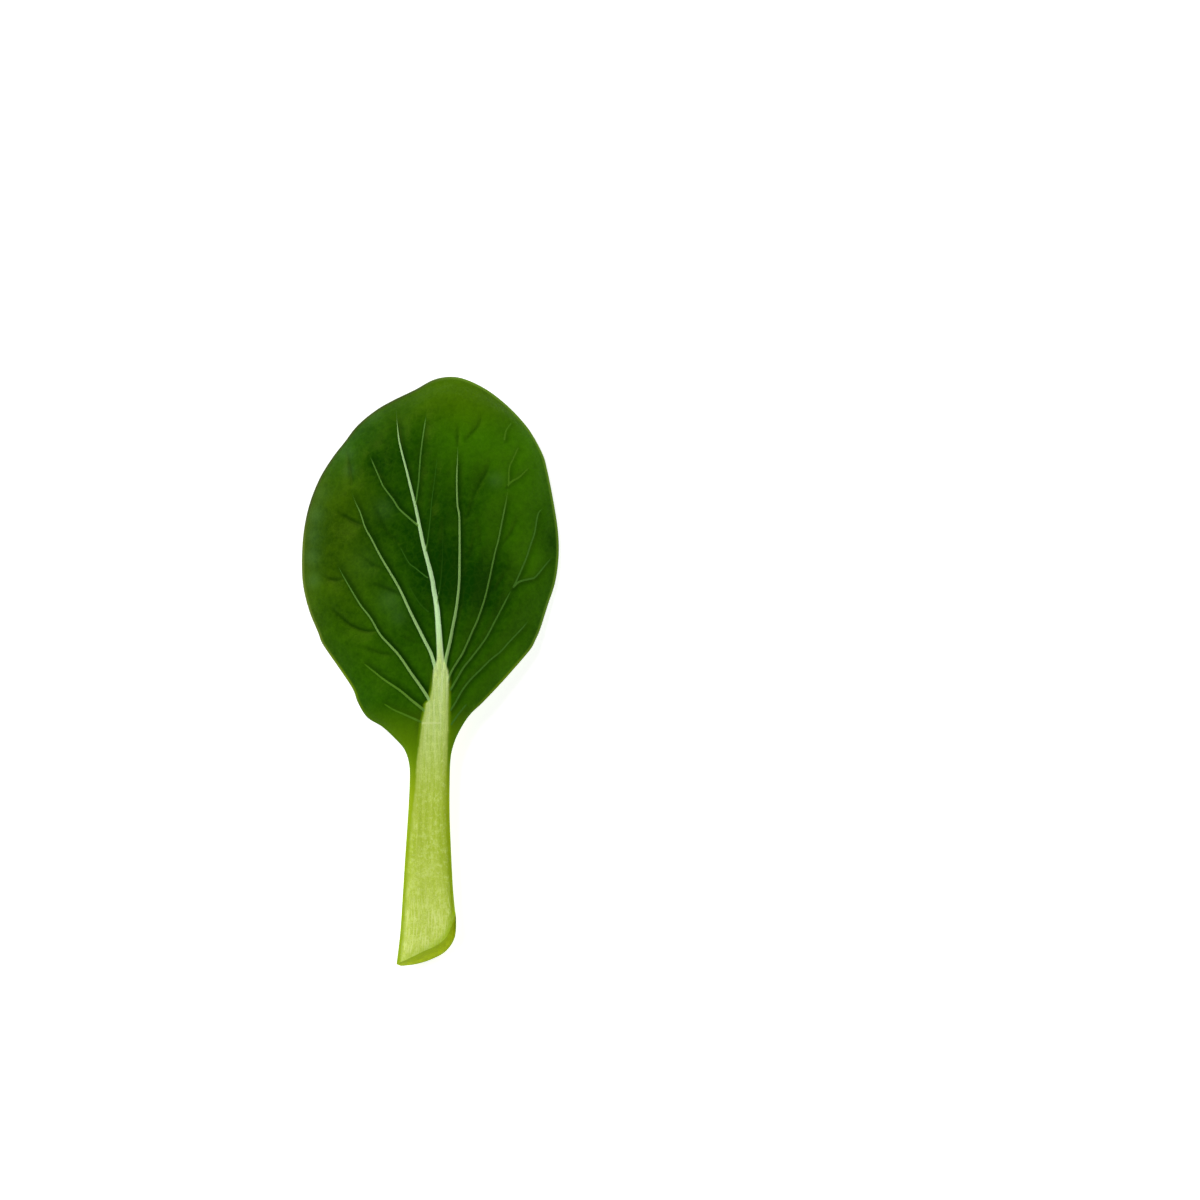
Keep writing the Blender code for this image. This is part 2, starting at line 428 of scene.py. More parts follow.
def line_distance(x, y, points):
    """How far each place is from the smooth line through the points, how far along it, from 0 to 1, and the
    distance again with a sign, above 0 on the right of somebody who walks along the line."""
    count = 10 * len(points)
    line = smooth_curve(points, even_places(points, np.linspace(0.0, 1.0, count)))
    distance = np.full(x.shape, FAR)
    along = np.zeros(x.shape)
    right = np.ones(x.shape)
    low, high = line.min(0) - FAR, line.max(0) + FAR
    near = np.flatnonzero((x > low[0]) & (x < high[0]) & (y > low[1]) & (y < high[1]))
    px, py = x[near], y[near]
    best, where, side = distance[near], along[near], right[near]
    for k in range(count - 1):
        start, run = line[k], line[k + 1] - line[k]
        t = np.clip(((px - start[0]) * run[0] + (py - start[1]) * run[1]) / (run @ run), 0.0, 1.0)
        gap = np.hypot(px - start[0] - t * run[0], py - start[1] - t * run[1])
        closer = gap < best
        best = np.where(closer, gap, best)
        where = np.where(closer, (k + t) / (count - 1), where)
        side = np.where(closer, (px - start[0]) * run[1] - (py - start[1]) * run[0], side)
    distance[near], along[near] = best, where
    right[near] = np.sign(side)
    return distance, along, right * distance


def vein_half_width(widths, along):
    """Half a vein's width: it narrows quickly at first and then slowly."""
    return (widths[1] + (widths[0] - widths[1]) * (1.0 - along) ** 1.15) / 2.0


def vein_facts(x, y):
    """For each place: how many half widths it is from the nearest vein, how pale that vein is, how far a vein
    stands up there, how deep a furrow is there, and how far off the nearest vein or furrow is."""
    reach = np.full(x.shape, FAR_IN_WIDTHS)
    pale = np.zeros(x.shape)
    lift = np.zeros(x.shape)
    sink = np.zeros(x.shape)
    gap = np.full(x.shape, FAR)
    for points, widths, pales, stand, furrow in VEINS.values():
        distance, along, side = line_distance(x, y, points)
        half_width = vein_half_width(widths, along)
        fade = 1.0 - ease(0.86, 1.0, along)
        in_widths = distance / (half_width * (0.35 + 0.65 * fade))
        closer = in_widths < reach
        reach = np.where(closer, in_widths, reach)
        pale_here = (pales[0] + (pales[1] - pales[0]) * along) * (0.2 + 0.8 * fade)
        pale = np.where(closer, pale_here, pale)
        strength = (1.0 - 0.45 * along) * fade
        lift = np.maximum(lift, stand * strength * bell(distance / half_width, 0.95))
        sink = np.maximum(sink, furrow * strength * bell(side - FURROW_SIDE, FURROW_WIDTH))
        gap = np.minimum(gap, distance + 5.0 * (1.0 - strength * min(furrow / CLEAR_FURROW, 1.0)))
    for points, depth in FURROWS:
        distance, along, _ = line_distance(x, y, points)
        fade = np.sin(np.pi * np.clip(along * 0.8 + 0.15, 0.0, 1.0))
        sink = np.maximum(sink, depth * fade * bell(distance, 0.60))
        gap = np.minimum(gap, distance + 5.0 * (1.0 - fade * depth / CLEAR_FURROW))
    return reach, pale, lift, sink, gap


def pale_face_depth(x, y):
    """How far inside the stalk's pale face a place is, below 0 outside it."""
    table = np.asarray(PALE_FACE)
    left, right = (np.interp(y, table[:, 0], table[:, k]) for k in (1, 2))
    return np.minimum(np.minimum(x - left, right - x), PALE_FACE_TOP - y)


def keel_depth(x, y):
    """How thick the leaf is: a thin blade with the stalk or the keel below it."""
    table = np.asarray(KEEL)
    centre, half_width, depth = (np.interp(y, table[:, 0], table[:, k]) for k in (1, 2, 3))
    away = np.abs(x - centre) / half_width
    stalk = (1.0 - np.clip(away, 0.0, 1.0) ** 2.3) ** 0.62
    ridge = np.exp(-(away**2) * 1.2)
    blade = ease(-30.0, 10.0, y)
    faded = 1.0 - ease(70.0, 80.0, y)
    shape = stalk * (1.0 - blade) + ridge * blade
    return BLADE_DEPTH + np.maximum(depth - BLADE_DEPTH, 0.0) * shape * faded


def waves(x, y, size, seed):
    """A soft rolling pattern between about -1 and 1, with hills about this size across."""
    rng = np.random.default_rng(seed)
    total = np.zeros(x.shape)
    for _ in range(WAVE_COUNT):
        turn = rng.uniform(0.0, np.pi)
        rate = 2.0 * np.pi / (size * rng.uniform(1.2, 2.6))
        total += np.sin((x * np.cos(turn) + y * np.sin(turn)) * rate + rng.uniform(0.0, 2.0 * np.pi))
    return total / (0.45 * WAVE_COUNT)


def spots(x, y, table):
    """The sum of the table's soft round spots, each (x, y, spread, amount)."""
    return sum(
        amount * np.exp(-((x - spot_x) ** 2 + (y - spot_y) ** 2) / spread**2)
        for spot_x, spot_y, spread, amount in table
    )


def deselect_all():
    bpy.ops.object.select_all(action="DESELECT")


def read_floats(items, name):
    """A vector from each of a mesh's points or faces, one to a row."""
    values = np.empty(len(items) * 3)
    items.foreach_get(name, values)
    return values.reshape(-1, 3)


def read_whole(items, name, width=1):
    """One whole number, or this many, from each of a mesh's edges, faces or corners, all in one row."""
    values = np.empty(len(items) * width, int)
    items.foreach_get(name, values)
    return values


def edit_only(mesh, kind, wanted):
    """Goes into edit mode with just the wanted edges or polygons selected, whichever the kind says."""
    bpy.ops.object.mode_set(mode="OBJECT")
    bpy.context.tool_settings.mesh_select_mode = (False, kind == "edges", kind == "polygons")
    for name, items in (("vertices", mesh.vertices), ("edges", mesh.edges), ("polygons", mesh.polygons)):
        items.foreach_set("select", wanted if name == kind else np.zeros(len(items), bool))
    bpy.ops.object.mode_set(mode="EDIT")


def cut_pattern():
    """The flat pattern: a grid over the unit square, finer along the veins, with an underside and a rim."""
    deselect_all()
    bpy.ops.mesh.primitive_grid_add(
        x_subdivisions=COLUMNS, y_subdivisions=ROWS, size=1.0, location=(0.5, 0.5, 0.0),
    )
    leaf = bpy.context.object
    leaf.name = leaf.data.name = "bok_choy_leaf_grown"
    bpy.ops.object.transform_apply(location=True, rotation=True, scale=True)
    mesh = leaf.data
    for reach in FINE_REACH:
        centres = read_floats(mesh.polygons, "center")
        x, y, _ = plan(centres[:, 0], centres[:, 1])
        near = np.zeros(len(x), bool)
        for points, widths, _, _, _ in VEINS.values():
            distance, along, _ = line_distance(x, y, points)
            near |= distance < reach + vein_half_width(widths, along)
        for points, _ in FURROWS:
            near |= line_distance(x, y, points)[0] < reach - FINE_REACH[1]
        edit_only(mesh, "polygons", near & (y > FINE_FROM))
        bpy.ops.mesh.subdivide(number_cuts=1, ngon=False)
        bpy.ops.object.mode_set(mode="OBJECT")
    edit_only(mesh, "polygons", np.ones(len(mesh.polygons), bool))
    bpy.ops.mesh.extrude_region_move(TRANSFORM_OT_translate={"value": (0.0, 0.0, -1.0)})
    bpy.ops.mesh.select_all(action="SELECT")
    bpy.ops.mesh.normals_make_consistent(inside=False)
    bpy.ops.object.mode_set(mode="OBJECT")
    height = read_floats(mesh.vertices, "co")[:, 2]
    ends = read_whole(mesh.edges, "vertices", 2).reshape(-1, 2)
    edit_only(mesh, "edges", np.abs(height[ends[:, 0]] - height[ends[:, 1]]) > 0.5)
    bpy.ops.mesh.subdivide(number_cuts=RIM_CUTS)
    bpy.ops.object.mode_set(mode="OBJECT")
    return leaf


def margin_distance(x, y):
    """How far each place is from the leaf's margin."""
    left = [row[:2] for row in MARGINS]
    right = [row[2:] for row in MARGINS]
    return np.minimum.reduce([line_distance(x, y, line)[0] for line in (left, right, TIP)])


def grow(leaf):
    """Moves every point of the pattern to its place, and stores on the points what the finishes read."""
    mesh = leaf.data
    pattern = read_floats(mesh.vertices, "co")
    across, along, below = pattern[:, 0], pattern[:, 1], -pattern[:, 2]
    x, y, dome = plan(across, along, below)
    reach, pale, lift, sink, gap = vein_facts(x, y)
    inside = pale_face_depth(x, y)
    margin = margin_distance(x, y)
    blade = ease(-30.0, -8.0, y) * ease(0.2, 2.2, -inside)

    pucker = PUCKER_HEIGHT * (1.0 - bell(gap, PUCKER_SPREAD)) * ease(0.0, 9.0, margin)
    rolling = 0.20 * waves(x, y, 9.0, 3) + 0.09 * waves(x, y, 4.0, 5)
    ruffle = 0.55 * waves(x, y, 15.0, 11) * ease(0.0, 24.0, y) * np.exp(-margin / 5.0)
    curl = -0.35 * bell(margin, 1.5)
    seat = dome + blade * (pucker + rolling + ruffle + curl)
    crease = -0.30 * bell(inside + 0.6, 0.8) * ease(-30.0, -16.0, y) * (1.0 - ease(-2.0, 5.0, y))
    fibre_x = FIBRE_SPAN * across
    ribs = 0.03 * waves(fibre_x, 0.04 * y, 0.9, 7) * ease(0.3, 1.6, inside)
    face = seat + crease + ribs - sink * blade + lift * ease(-26.0, -6.0, y)

    under_ridge = bell(reach, 1.9) * np.sqrt(pale) * 0.65 * ease(-14.0, 4.0, y)
    back = seat - keel_depth(x, y) - under_ridge - 0.5 * sink * blade
    z = face + (back - face) * below

    # The rim bulges out round between the two faces, but not at the cut foot.
    inner_x, inner_y, _ = plan(0.5 + (across - 0.5) * 0.98, 0.5 + (along - 0.5) * 0.98, below)
    out = np.stack((x - inner_x, y - inner_y), 1)
    out /= np.maximum(np.linalg.norm(out, axis=1), TINY)[:, None]
    at_rim = (across < TINY) | (across > 1.0 - TINY) | (along > 1.0 - TINY)
    bulge = RIM_BULGE * np.sin(np.pi * below) * at_rim * ease(0.0, 0.02, along)
    x, y = x + out[:, 0] * bulge, y + out[:, 1] * bulge

    points = np.stack((x, y, z), 1) * MM
    low, high = points.min(0), points.max(0)
    middle = np.array(leaf_low + leaf_high) / 2.0
    points += (middle[0] - (low[0] + high[0]) / 2, middle[1] - (low[1] + high[1]) / 2, leaf_low.z - low[2])
    mesh.vertices.foreach_set("co", points.ravel())
    mesh.update()

    facts = {
        "across": across,
        "tone": spots(x, y, TONES),
        "painted_sheen": np.clip(spots(x, y, PAINTED_SHEEN_SPOTS), 0.0, 1.0),
        "vein_reach": reach,
        "vein_pale": pale,
        "stalk_inside": np.clip(inside, -8.0, 8.0),
        "margin": margin,
        "below": below,
        "by_cut": bell(line_distance(x, y, CUT_ABOVE)[0], 1.3),
        # How deep the furrow is, which the upper skin turns into painted shade.
        "furrow": np.clip(sink / 0.40, 0.0, 1.0),
        "keel": np.clip((keel_depth(x, y) - BLADE_DEPTH) / 3.0, 0.0, 1.0),
    }
    for name, values in facts.items():
        mesh.attributes.new(name, "FLOAT", "POINT").data.foreach_set("value", values.astype(np.float32))
    # The fibres run along the stalk between its margins, and straight up where it widens into the blade.
    fibre_x = fibre_x + (x * 1.13 + 7.2 - fibre_x) * ease(-32.0, -26.0, y)
    flow = np.stack((fibre_x, y), 1)[read_whole(mesh.loops, "vertex_index")]
    mesh.uv_layers.active.name = "flow"
    mesh.uv_layers.active.data.foreach_set("uv", flow.ravel())
    return pattern


def give_finishes(leaf, pattern, finishes):
    """Puts the two skins and the cut flesh on their faces, with a sharp edge round the cut."""
    mesh = leaf.data
    for finish in finishes:
        mesh.materials.append(finish)
    starts = read_whole(mesh.polygons, "loop_start")
    corners = read_whole(mesh.loops, "vertex_index")
    below = np.add.reduceat(-pattern[corners, 2], starts) / np.add.reduceat(np.ones(len(corners)), starts)
    cut = np.maximum.reduceat(pattern[corners, 1], starts) < TINY
    skins = np.where(below > 0.5, UNDER_SKIN, UPPER_SKIN)
    mesh.polygons.foreach_set("material_index", np.where(cut, CUT_FLESH, skins))
    mesh.polygons.foreach_set("use_smooth", np.ones(len(cut), bool))
    edit_only(mesh, "polygons", cut)
    bpy.ops.mesh.region_to_loop()
    bpy.ops.mesh.mark_sharp()
    bpy.ops.object.mode_set(mode="OBJECT")
    deselect_all()


# --------------------------------------------------------------------------------------------------- finishes


def colour(red, green, blue):
    """A colour given in screen values from 0 to 255, as the linear one that the shaders use."""
    linear = (((v / 255 + 0.055) / 1.055) ** 2.4 if v > 10 else v / 255 / 12.92 for v in (red, green, blue))
    return (*linear, 1.0)


def node(tree, kind, inputs=(), **settings):
    """Adds a node, sets its settings, and fills its inputs with values or with other nodes' outputs."""
    made = tree.nodes.new(kind)
    for name, value in settings.items():
        setattr(made, name, value)
    for key, value in dict(inputs).items():
        if isinstance(value, bpy.types.NodeSocket):
            tree.links.new(value, made.inputs[key])
        else:
            made.inputs[key].default_value = value
    return made


def maths(tree, operation, first, second=0.0, third=0.0, clamp=False):
    inputs = {0: first, 1: second, 2: third}
    return node(tree, "ShaderNodeMath", inputs, operation=operation, use_clamp=clamp).outputs[0]


def product(tree, *factors):
    total = factors[0]
    for factor in factors[1:]:
        total = maths(tree, "MULTIPLY", total, factor)
    return total


def rise(tree, value, low, high, to_low=0.0, to_high=1.0):
    """A smooth step from to_low to to_high as the value goes from low to high."""
    inputs = {"Value": value, "From Min": low, "From Max": high, "To Min": to_low, "To Max": to_high}
    return node(tree, "ShaderNodeMapRange", inputs, interpolation_type="SMOOTHSTEP").outputs[0]


def blend(tree, share, first, second):
    """The first colour, with this share of the second one mixed in."""
    inputs = {0: share, 6: first, 7: second}
    return node(tree, "ShaderNodeMix", inputs, data_type="RGBA", clamp_factor=True).outputs[2]


def noise(tree, vector, scale, detail, roughness=0.5):
    inputs = {"Vector": vector, "Scale": scale, "Detail": detail, "Roughness": roughness}
    return node(tree, "ShaderNodeTexNoise", inputs).outputs[0]


def stretched(tree, vector, scale):
    return node(tree, "ShaderNodeMapping", {"Vector": vector, "Scale": scale}).outputs[0]


def fact(tree, name):
    """A value that the leaf's points hold under this name."""
    return node(tree, "ShaderNodeAttribute", attribute_name=name).outputs["Fac"]


def new_group(name, inputs, outputs):
    """A node group with these inputs, as pairs of a name and a socket type, and these named float outputs."""
    group = bpy.data.node_groups.new(name, "ShaderNodeTree")
    for label, kind in inputs:
        group.interface.new_socket(name=label, in_out="INPUT", socket_type=kind)
    for label in outputs:
        group.interface.new_socket(name=label, in_out="OUTPUT", socket_type="NodeSocketFloat")
    return group, group.nodes.new("NodeGroupInput").outputs, group.nodes.new("NodeGroupOutput").inputs


def make_tissue_group():
    """Living tissue: broad patches, small mottling, and the net of the finest veins as thin lines."""
    group, given, result = new_group(
        "leaf_tissue",
        (("Place", "NodeSocketVector"), ("Cell Size", "NodeSocketFloat")),
        ("Patches", "Mottle", "Net"),
    )
    warp_inputs = {"Vector": given["Place"], "Scale": 260.0, "Detail": 2.0}
    warp = node(group, "ShaderNodeTexNoise", warp_inputs).outputs["Color"]
    bent = node(
        group, "ShaderNodeVectorMath", {0: warp, 1: (0.0016, 0.0016, 0.0016), 2: given["Place"]},
        operation="MULTIPLY_ADD",
    ).outputs[0]
    cell_inputs = {"Vector": bent, "Scale": maths(group, "DIVIDE", 1.0, given["Cell Size"])}
    cells = node(group, "ShaderNodeTexVoronoi", cell_inputs, feature="DISTANCE_TO_EDGE")
    group.links.new(noise(group, given["Place"], 70.0, 3.0), result["Patches"])
    group.links.new(noise(group, given["Place"], 520.0, 4.0, 0.68), result["Mottle"])
    group.links.new(rise(group, cells.outputs["Distance"], 0.0, 0.16, 1.0, 0.0), result["Net"])
    return group


def make_vein_group():
    """From how many half widths a vein is away: its core, and the painted shade beside it."""
    group, given, result = new_group(
        "vein_mark",
        (("Reach", "NodeSocketFloat"), ("Paleness", "NodeSocketFloat"), ("Ragged", "NodeSocketFloat")),
        ("Core", "Shade"),
    )
    ragged = maths(group, "MULTIPLY_ADD", given["Ragged"], 0.5, given["Reach"])
    core = rise(group, maths(group, "SUBTRACT", ragged, 0.25), 0.55, 1.35, 1.0, 0.0)
    shade = rise(group, given["Reach"], 1.3, 3.0, 1.0, 0.0)
    group.links.new(product(group, core, rise(group, given["Paleness"], 0.0, 0.05)), result["Core"])
    group.links.new(product(group, shade, rise(group, given["Paleness"], 0.0, 0.3)), result["Shade"])
    return group


def make_fibre_group():
    """The stalk's long fibres and strands, the grain of its crisp cells, and their speckling, which also
    places the stalk's painted glints.
    """
    group, given, result = new_group(
        "stalk_fibres",
        (("Flow", "NodeSocketVector"), ("Speck Size", "NodeSocketFloat")),
        ("Fibres", "Strands", "Specks And Glints", "Grain"),
    )
    flow = given["Flow"]
    per_unit = maths(group, "DIVIDE", 1.0, given["Speck Size"])
    specks_and_glints = noise(group, stretched(group, flow, (1.0, 0.6, 1.0)), per_unit, 2.0, 0.7)
    fibres = noise(group, stretched(group, flow, (1.6, 0.10, 1.0)), 2.2, 3.0, 0.65)
    strands = noise(group, stretched(group, flow, (0.50, 0.03, 1.0)), 2.0, 2.0)
    group.links.new(fibres, result["Fibres"])
    group.links.new(strands, result["Strands"])
    group.links.new(rise(group, specks_and_glints, 0.5, 0.72), result["Specks And Glints"])
    group.links.new(noise(group, flow, product(group, per_unit, 1.7), 2.0, 0.7), result["Grain"])
    return group


def new_finish(name):
    finish = bpy.data.materials.new(name)
    finish.use_nodes = True
    return finish, finish.node_tree, finish.node_tree.nodes["Principled BSDF"]


def place_group(tree, group, inputs):
    """Adds the group to a finish, with all its inputs filled in, and returns its outputs."""
    return node(tree, "ShaderNodeGroup", inputs, node_tree=group).outputs


def place_patterns(tree, groups, reach, speck_size):
    """What both skins use: the place along the leaf in metres, the tissue, the fibres and the veins."""
    place = node(tree, "ShaderNodeTexCoord").outputs["Object"]
    flow = node(tree, "ShaderNodeUVMap", uv_map="flow").outputs[0]
    tissue = place_group(tree, groups["tissue"], {"Place": place, "Cell Size": 0.0021})
    fibre = place_group(tree, groups["fibres"], {"Flow": flow, "Speck Size": speck_size})
    marks = {"Reach": reach, "Paleness": fact(tree, "vein_pale"), "Ragged": tissue["Mottle"]}
    veins = place_group(tree, groups["veins"], marks)
    return node(tree, "ShaderNodeSeparateXYZ", {0: place}).outputs["Y"], tissue, fibre, veins


def fill_shader(tree, shader, skin, rough, relief, strength, distance):
    """Gives a finish its colour, its roughness, and a relief of this strength and this height in metres."""
    inputs = {"Strength": strength, "Distance": distance, "Height": relief}
    bump = node(tree, "ShaderNodeBump", inputs).outputs[0]
    for name, value in (("Base Color", skin), ("Roughness", rough), ("Normal", bump)):
        tree.links.new(value, shader.inputs[name])


def mottled_tone(tree, tissue, patches, mottle, middle):
    """A share from 0 to 1 about the middle one, moved by the tissue's patches and mottling."""
    tone = maths(tree, "MULTIPLY_ADD", maths(tree, "SUBTRACT", tissue["Patches"], 0.5), patches, middle)
    grain = maths(tree, "SUBTRACT", tissue["Mottle"], 0.5)
    return maths(tree, "MULTIPLY_ADD", grain, mottle, tone, clamp=True)


def upper_blade(tree, y, tissue, veins):
    """The blade from its darkest green to its lightest, with painted shade in its furrows and beside its
    veins, and painted light and shade on its thin rim.
    """
    across, margin = fact(tree, "across"), fact(tree, "margin")
    tone = mottled_tone(tree, tissue, 0.60, 0.70, maths(tree, "ADD", fact(tree, "tone"), 0.46))
    leftward = rise(tree, across, 0.45, 0.10)
    leftward = product(tree, leftward, rise(tree, y, 0.070, 0.050), rise(tree, y, -0.010, 0.040))
    darkest = blend(tree, leftward, colour(12, 56, 1), colour(20, 56, 1))
    lightest = blend(tree, leftward, colour(60, 112, 2), colour(76, 112, 1))
    lightest = blend(tree, rise(tree, y, 0.070, 0.085), lightest, colour(68, 106, 1))
    blade = blend(tree, tone, darkest, lightest)
    # Painted sheen: where the light glances off the blade, its colour is lifted to a pale bluish green.
    blade = blend(tree, product(tree, fact(tree, "painted_sheen"), 0.75), blade, colour(78, 118, 52))
    blade = blend(tree, product(tree, tissue["Net"], 0.05), blade, colour(84, 124, 30))
    # Painted shade: the blade is darkened in its furrows, where shade falls.
    blade = blend(tree, product(tree, fact(tree, "furrow"), 0.85), blade, colour(9, 44, 1))

    above_stalk = rise(tree, y, -0.02, 0.0)
    wide_edge = product(tree, rise(tree, margin, 0.5, 4.0, 0.36, 0.0), leftward, above_stalk)
    blade = blend(tree, wide_edge, blade, colour(66, 92, 8))
    # Painted light and shade on the thin rim: pale where it catches the light, dark grey at the upper left
    # where the margin turns down into shade.
    rim_light_and_shade = blend(tree, rise(tree, y, 0.036, 0.050), colour(104, 124, 44), colour(66, 76, 34))
    rim_light_and_shade = blend(tree, rise(tree, across, 0.35, 0.65), rim_light_and_shade, colour(104, 140, 40))
    rim_light_and_shade = blend(tree, rise(tree, y, 0.014, -0.004), rim_light_and_shade, colour(116, 146, 20))
    painted_rim_band = product(tree, rise(tree, margin, 0.15, 0.85, 0.75, 0.0), above_stalk)
    blade = blend(tree, painted_rim_band, blade, rim_light_and_shade)
    # Painted shade: a narrow band along both sides of each pale vein is darkened.
    blade = blend(tree, product(tree, veins["Shade"], 0.40), blade, colour(14, 54, 1))

    # Beside the stalk's pale face the green turns olive, and down the stalk it fades to yellow-green.
    beside = rise(tree, fact(tree, "stalk_inside"), -1.1, -0.1)
    beside = product(tree, beside, rise(tree, y, 0.003, -0.010, 0.0, 0.80))
    blade = blend(tree, beside, blade, colour(122, 156, 14))
    olive = blend(tree, rise(tree, y, -0.022, -0.042), colour(92, 130, 6), colour(146, 172, 24))
    return blend(tree, rise(tree, y, -0.008, -0.026), blade, olive)


def upper_stalk(tree, y, tissue, fibre):
    """The stalk's pale face with its fibres: whiter where it meets the veins, and yellower down the stalk."""
    across, margin, inside = fact(tree, "across"), fact(tree, "margin"), fact(tree, "stalk_inside")
    down = rise(tree, y, 0.004, -0.046)
    stalk = blend(tree, down, colour(204, 228, 136), colour(180, 203, 68))
    stalk = blend(tree, rise(tree, y, -0.050, -0.082, 0.0, 0.7), stalk, colour(214, 232, 108))
    strand = blend(tree, down, colour(226, 244, 180), colour(206, 224, 104))
    stalk = blend(tree, rise(tree, fibre["Strands"], 0.40, 0.62, 0.0, 0.65), stalk, strand)
    # Painted shade: the right part of the stalk's face, turned from the light, is a darker yellow-green down
    # the stalk.
    shaded_right_side = product(tree, rise(tree, across, 0.55, 0.92, 0.0, 0.60), down)
    stalk = blend(tree, shaded_right_side, stalk, colour(148, 176, 20))
    fibres = product(tree, rise(tree, fibre["Fibres"], 0.45, 0.66), rise(tree, down, 0.0, 1.0, 0.45, 0.22))
    stalk = blend(tree, fibres, stalk, blend(tree, down, colour(138, 176, 84), colour(154, 180, 42)))
    crumbs = product(tree, rise(tree, tissue["Mottle"], 0.42, 0.56, 0.28, 0.0), down)
    stalk = blend(tree, crumbs, stalk, colour(156, 180, 44))
    stalk = blend(tree, rise(tree, tissue["Mottle"], 0.52, 0.66, 0.0, 0.50), stalk, colour(218, 235, 138))
    grain = rise(tree, fibre["Grain"], 0.42, 0.62, 0.0, 0.34)
    stalk = blend(tree, grain, stalk, blend(tree, down, colour(150, 184, 96), colour(152, 178, 40)))
    # Painted highlights: small bright speckles stand for glints of light on the stalk's crisp cells.
    stalk = blend(tree, product(tree, fibre["Specks And Glints"], 0.50), stalk, colour(217, 232, 134))
    streaks = rise(tree, fibre["Fibres"], 0.50, 0.60)
    streaks = product(tree, streaks, rise(tree, y, -0.060, -0.076, 0.0, 0.65))
    stalk = blend(tree, streaks, stalk, colour(228, 240, 148))
    edge_of_face = product(tree, rise(tree, inside, 0.1, 1.8, 0.45, 0.0), rise(tree, y, 0.002, -0.012))
    stalk = blend(tree, edge_of_face, stalk, colour(150, 172, 48))

    # A pale line across the neck, a green line along both sides further down, and a green band by the cut.
    neck_line = maths(tree, "MULTIPLY_ADD", fibre["Specks And Glints"], 0.0003, y)
    neck_line = maths(tree, "ABSOLUTE", maths(tree, "ADD", neck_line, 0.0157))
    neck_line = product(tree, rise(tree, neck_line, 0.0001, 0.0004, 0.7, 0.0), rise(tree, across, 0.72, 0.66))
    stalk = blend(tree, neck_line, stalk, colour(214, 228, 150))
    side_line = product(tree, rise(tree, margin, 0.40, 1.8, 0.90, 0.0), rise(tree, y, -0.022, -0.034))
    stalk = blend(tree, side_line, stalk, colour(138, 166, 3))
    by_cut = product(tree, fact(tree, "by_cut"), rise(tree, across, 0.1, 0.8, 0.35, 0.80))
    return blend(tree, by_cut, stalk, colour(150, 184, 10))


def make_upper_skin(groups):
    """The glossy face: dark green blade, pale veins, and the pale fibrous face of the stalk."""
    finish, tree, shader = new_finish("upper_skin")
    y, tissue, fibre, veins = place_patterns(tree, groups, fact(tree, "vein_reach"), 0.62)
    across, paleness = fact(tree, "across"), fact(tree, "vein_pale")

    # Thin veins are greener than pale ones, and a little bluish but for the low left and the high right.
    bluish = maths(tree, "MAXIMUM", rise(tree, across, 0.45, 0.60), rise(tree, y, 0.002, 0.016))
    high_right = product(tree, rise(tree, across, 0.62, 0.70), rise(tree, y, 0.044, 0.060))
    bluish = maths(tree, "SUBTRACT", bluish, high_right, clamp=True)
    thin_vein = blend(tree, bluish, colour(60, 108, 4), colour(50, 100, 26))
    pale_vein = blend(tree, paleness, colour(188, 236, 104), colour(204, 242, 186))
    vein = blend(tree, paleness, thin_vein, pale_vein)

    face = maths(tree, "MULTIPLY_ADD", tissue["Mottle"], 0.5, fact(tree, "stalk_inside"))
    face = rise(tree, face, -0.05, 0.65)
    stalk = upper_stalk(tree, y, tissue, fibre)
    stalk = blend(tree, rise(tree, y, 0.000, 0.016, 0.0, 0.85), stalk, pale_vein)
    skin = blend(tree, rise(tree, veins["Core"], 0.05, 0.75), upper_blade(tree, y, tissue, veins), vein)
    skin = blend(tree, face, skin, stalk)

    pale = maths(tree, "MAXIMUM", face, veins["Core"])
    rough = maths(tree, "MULTIPLY_ADD", tissue["Mottle"], 0.16, 0.30)
    rough = maths(tree, "MULTIPLY_ADD", pale, 0.10, rough)
    rough = maths(tree, "ADD", rough, rise(tree, fact(tree, "margin"), 0.2, 1.0, 0.30, 0.0))
    grain = maths(tree, "MULTIPLY_ADD", tissue["Net"], -0.20, product(tree, tissue["Mottle"], 0.8))
    fibre_relief = maths(tree, "MULTIPLY_ADD", fibre["Specks And Glints"], 0.6, fibre["Fibres"])
    relief = node(tree, "ShaderNodeMix", {0: pale, 2: grain, 3: fibre_relief}, data_type="FLOAT").outputs[0]
    fill_shader(tree, shader, skin, rough, relief, 0.40, 0.0003)
    shader.inputs["Specular IOR Level"].default_value = 0.06
    shader.inputs["Specular Tint"].default_value = (0.75, 1.0, 0.06, 1.0)
    return finish


